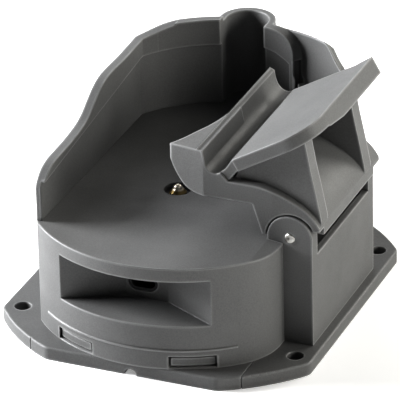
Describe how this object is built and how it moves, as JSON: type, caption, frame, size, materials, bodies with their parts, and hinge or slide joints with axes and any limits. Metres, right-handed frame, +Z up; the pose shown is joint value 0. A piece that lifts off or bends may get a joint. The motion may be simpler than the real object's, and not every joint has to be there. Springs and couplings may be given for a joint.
{
  "type": "lantern charging rack",
  "caption": "Moulded charging and mounting rack for a box lantern: tall side and rear wall, spring contacts in the deck, sprung latch with thumb plate.",
  "frame": {"origin": "centre of the mounting hole pattern on the underside of the base plate", "axes": "+Z up from the mounting surface, +Y towards the tall rear wall, +X towards the latch"},
  "size_m": [0.15, 0.1864, 0.1138],
  "materials": {
    "housing_plastic": "fine matte moulded texture",
    "latch_plastic": "fine matte moulded texture",
    "black_plastic": "matte",
    "contact_brass": "turned, lightly worn",
    "steel": "plain zinc plated",
    "board_laminate": "solder-masked board",
    "lead_insulation": "insulated wire"
  },
  "bodies": {
    "rack": {"base_plate": "housing_plastic", "housing_shell": "housing_plastic", "latch_tower": "housing_plastic", "cradle_wall": "housing_plastic", "hinge_pin": "steel", "pin_push_nut": "steel", "latch_spring": "steel", "contact_bush_front": "black_plastic", "contact_bush_rear": "black_plastic", "contact_spring_front": "steel", "contact_spring_rear": "steel", "contact_cap_front": "contact_brass", "contact_cap_rear": "contact_brass", "inlet_body": "black_plastic", "inlet_pin_left": "contact_brass", "inlet_pin_right": "contact_brass", "circuit_board": "board_laminate", "power_components": "black_plastic", "board_terminals": "black_plastic", "board_screw_1": "steel", "board_screw_2": "steel", "board_screw_3": "steel", "board_screw_4": "steel", "housing_screw_left": "steel", "housing_screw_right": "steel", "contact_leads": "lead_insulation", "inlet_leads": "lead_insulation"},
    "latch": {"latch_arm": "latch_plastic"},
    "contact_front": {"contact_plunger_front": "contact_brass"},
    "contact_rear": {"contact_plunger_rear": "contact_brass"}
  },
  "joints": [
    {"name": "latch_hinge", "type": "hinge", "parent": "rack", "child": "latch", "pos_m": [0.0602, -0.002, 0.0584], "axis": [0, 1, 0], "range_deg": [0, 20], "stiffness_Nm_per_rad": 0.35, "springref_deg": -40.11},
    {"name": "contact_front_press", "type": "slide", "parent": "rack", "child": "contact_front", "axis": [0, 0, -1], "range_m": [0, 0.002], "stiffness_N_per_m": 350, "springref_m": -0.003, "deforming": ["contact_spring_front"]},
    {"name": "contact_rear_press", "type": "slide", "parent": "rack", "child": "contact_rear", "axis": [0, 0, -1], "range_m": [0, 0.002], "stiffness_N_per_m": 350, "springref_m": -0.003, "deforming": ["contact_spring_rear"]}
  ]
}
